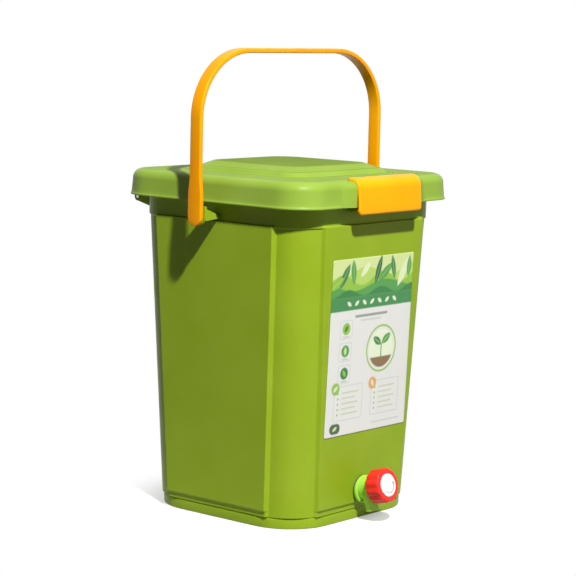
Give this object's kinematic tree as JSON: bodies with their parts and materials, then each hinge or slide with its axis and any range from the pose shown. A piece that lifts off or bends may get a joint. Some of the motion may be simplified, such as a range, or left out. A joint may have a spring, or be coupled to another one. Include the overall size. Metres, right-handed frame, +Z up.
{
  "type": "bokashi bin",
  "caption": "Square tapered fermenting bin with raised side panels, hinged latching lid, strap handle, strainer plate and a screw-down drain tap.",
  "frame": {"origin": "bottom centre of the bin, on the centre boss level with the foot ring", "axes": "+Z up, the label and tap face -Y, the handle's pivots lie along X"},
  "size_m": [0.3308, 0.3197, 0.547],
  "materials": {
    "bucket_green": "satin moulded polypropylene",
    "lid_green": "satin moulded polypropylene",
    "handle_orange": "satin moulded plastic",
    "latch_yellow": "satin moulded plastic",
    "tap_green": "satin moulded plastic",
    "knob_red": "satin moulded plastic",
    "disc_white": "glossy moulded plastic",
    "label_paper": "printed film label",
    "rubber_grey": "moulded rubber",
    "strainer_pale": "satin moulded plastic",
    "steel": "drawn steel"
  },
  "bodies": {
    "bucket_body": {"bucket": "bucket_green", "front_label": "label_paper", "tap_body": "tap_green", "tap_outer_washer": "rubber_grey", "tap_inner_washer": "rubber_grey", "tap_lock_nut": "tap_green", "tap_bonnet": "tap_green", "tap_stem_o_ring": "rubber_grey", "lid_hinge_pin": "steel"},
    "handle_body": {"handle": "handle_orange"},
    "lid_body": {"lid": "lid_green", "lid_seal": "rubber_grey", "latch_hinge_pin": "steel"},
    "latch_body": {"front_latch": "latch_yellow"},
    "strainer_body": {"strainer_plate": "strainer_pale"},
    "valve_body": {"tap_valve_washer": "rubber_grey"},
    "knob_body": {"tap_stem": "disc_white", "tap_knob": "knob_red", "tap_knob_disc": "disc_white", "tap_knob_screw": "steel"}
  },
  "joints": [
    {"name": "handle_swing", "type": "hinge", "parent": "bucket_body", "child": "handle_body", "pos_m": [0, 0, 0.356], "axis": [1, 0, 0], "range_deg": [-130, 130]},
    {"name": "lid_open", "type": "hinge", "parent": "bucket_body", "child": "lid_body", "pos_m": [0, 0.148, 0.366], "axis": [-1, 0, 0], "range_deg": [0, 35]},
    {"name": "latch_open", "type": "hinge", "parent": "lid_body", "child": "latch_body", "pos_m": [0, -0.138, 0.4032], "axis": [-1, 0, 0], "range_deg": [0, 110]},
    {"name": "strainer_lift", "type": "slide", "parent": "bucket_body", "child": "strainer_body", "axis": [0, 0, 1], "range_m": [0, 0.25]},
    {"name": "valve_slide", "type": "slide", "parent": "bucket_body", "child": "valve_body", "axis": [0, -0.9703, 0.2419], "range_m": [0, 0.0035]},
    {"name": "knob_turn", "type": "hinge", "parent": "valve_body", "child": "knob_body", "pos_m": [0, -0.12196, 0.0365], "axis": [0, -0.9703, 0.2419], "range_deg": [0, 360]}
  ],
  "couplings": [
    {"joint": "valve_slide", "follows": "knob_turn", "m_per_rad": 0.00055699}
  ]
}
